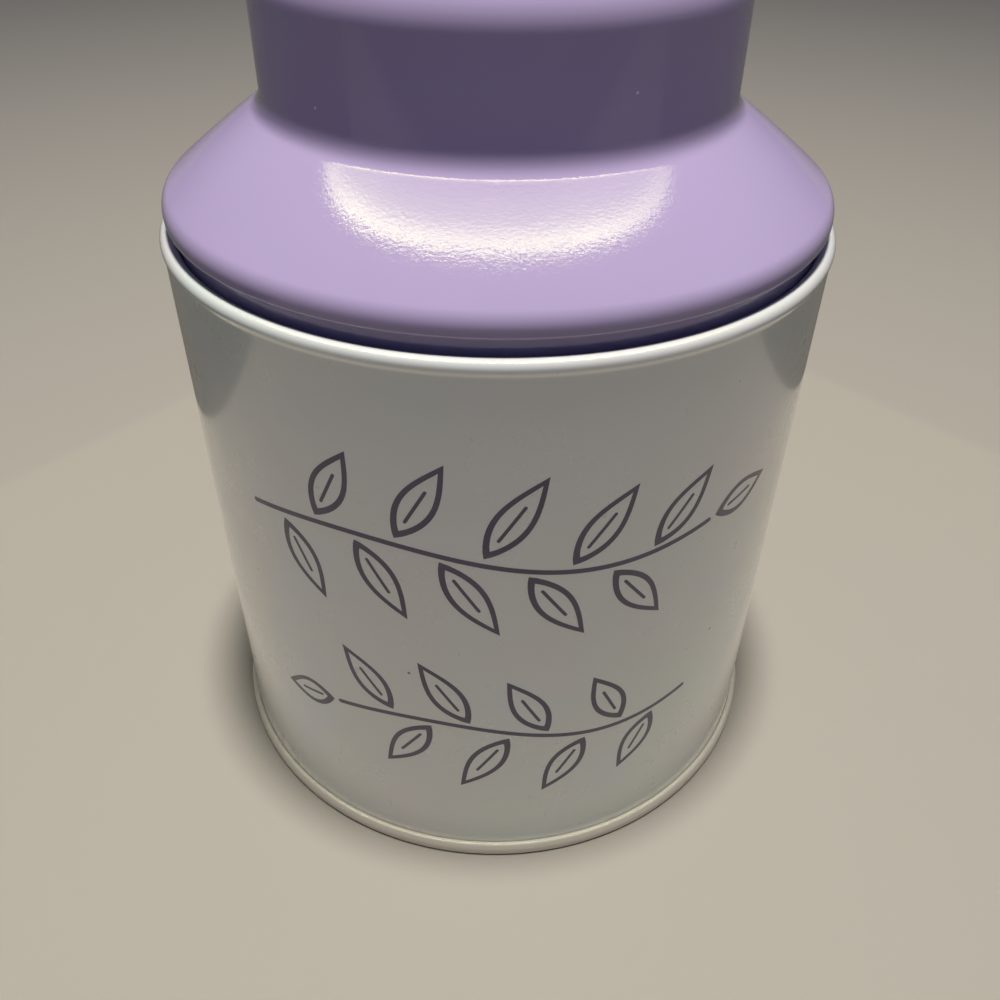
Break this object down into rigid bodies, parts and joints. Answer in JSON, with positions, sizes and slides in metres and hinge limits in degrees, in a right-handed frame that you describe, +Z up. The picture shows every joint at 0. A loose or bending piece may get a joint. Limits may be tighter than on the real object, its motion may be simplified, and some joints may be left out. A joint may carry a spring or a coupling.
{
  "type": "canister tin",
  "caption": "Round tinplate canister with a seamed base and a press-in lid that has a sloping shoulder, a straight neck and a flat top.",
  "frame": {"origin": "centre of the base seam's foot, on the surface the tin stands on", "axes": "+Z up along the tin's axis, -Y towards the printed front, side seam at the back towards +Y"},
  "size_m": [0.1012, 0.1012, 0.1322],
  "materials": {
    "pearl_white_enamel": "gloss pearl enamel on tinplate",
    "lavender_enamel": "satin enamel on tinplate",
    "bare_tinplate": "bright rolled tinplate",
    "violet_ink": "satin printed ink under clear varnish, on the front only"
  },
  "bodies": {
    "can": {"body_wall": "pearl_white_enamel", "base_end": "bare_tinplate"},
    "lid": {"lid_shell": "lavender_enamel", "lid_plug": "lavender_enamel"}
  },
  "joints": [
    {"name": "lid_lift", "type": "slide", "parent": "can", "child": "lid", "axis": [0, 0, 1], "range_m": [0, 0.06]}
  ]
}
